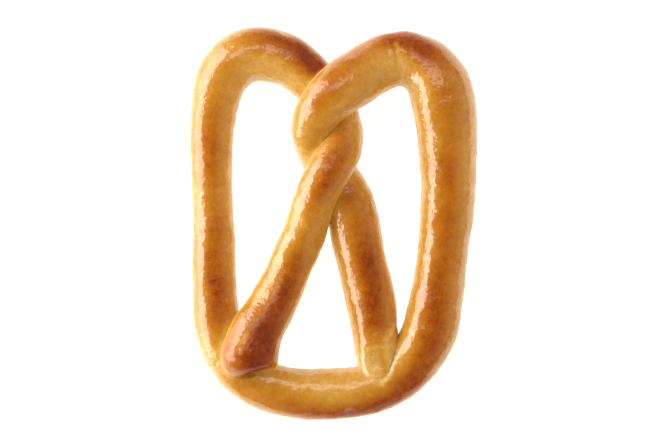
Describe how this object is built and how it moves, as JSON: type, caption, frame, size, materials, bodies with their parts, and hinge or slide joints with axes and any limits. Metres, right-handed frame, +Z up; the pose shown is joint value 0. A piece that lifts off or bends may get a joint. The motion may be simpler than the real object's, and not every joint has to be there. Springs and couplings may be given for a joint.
{
  "type": "soft pretzel",
  "caption": "Twisted rope of baked dough with two tall loops, lying flat on its underside, with both ends pressed onto the belly.",
  "frame": {"origin": "middle of the pretzel's outline, at the height of the surface that it lies on", "axes": "+X to the right of a person who looks down on the pretzel with its loops away from them, +Y from the belly to the two loops, +Z up off the surface that it lies on"},
  "size_m": [0.1248, 0.1708, 0.0292],
  "materials": {
    "baked_crust": "gloss"
  },
  "bodies": {
    "root": {"pretzel": "baked_crust"}
  },
  "joints": []
}
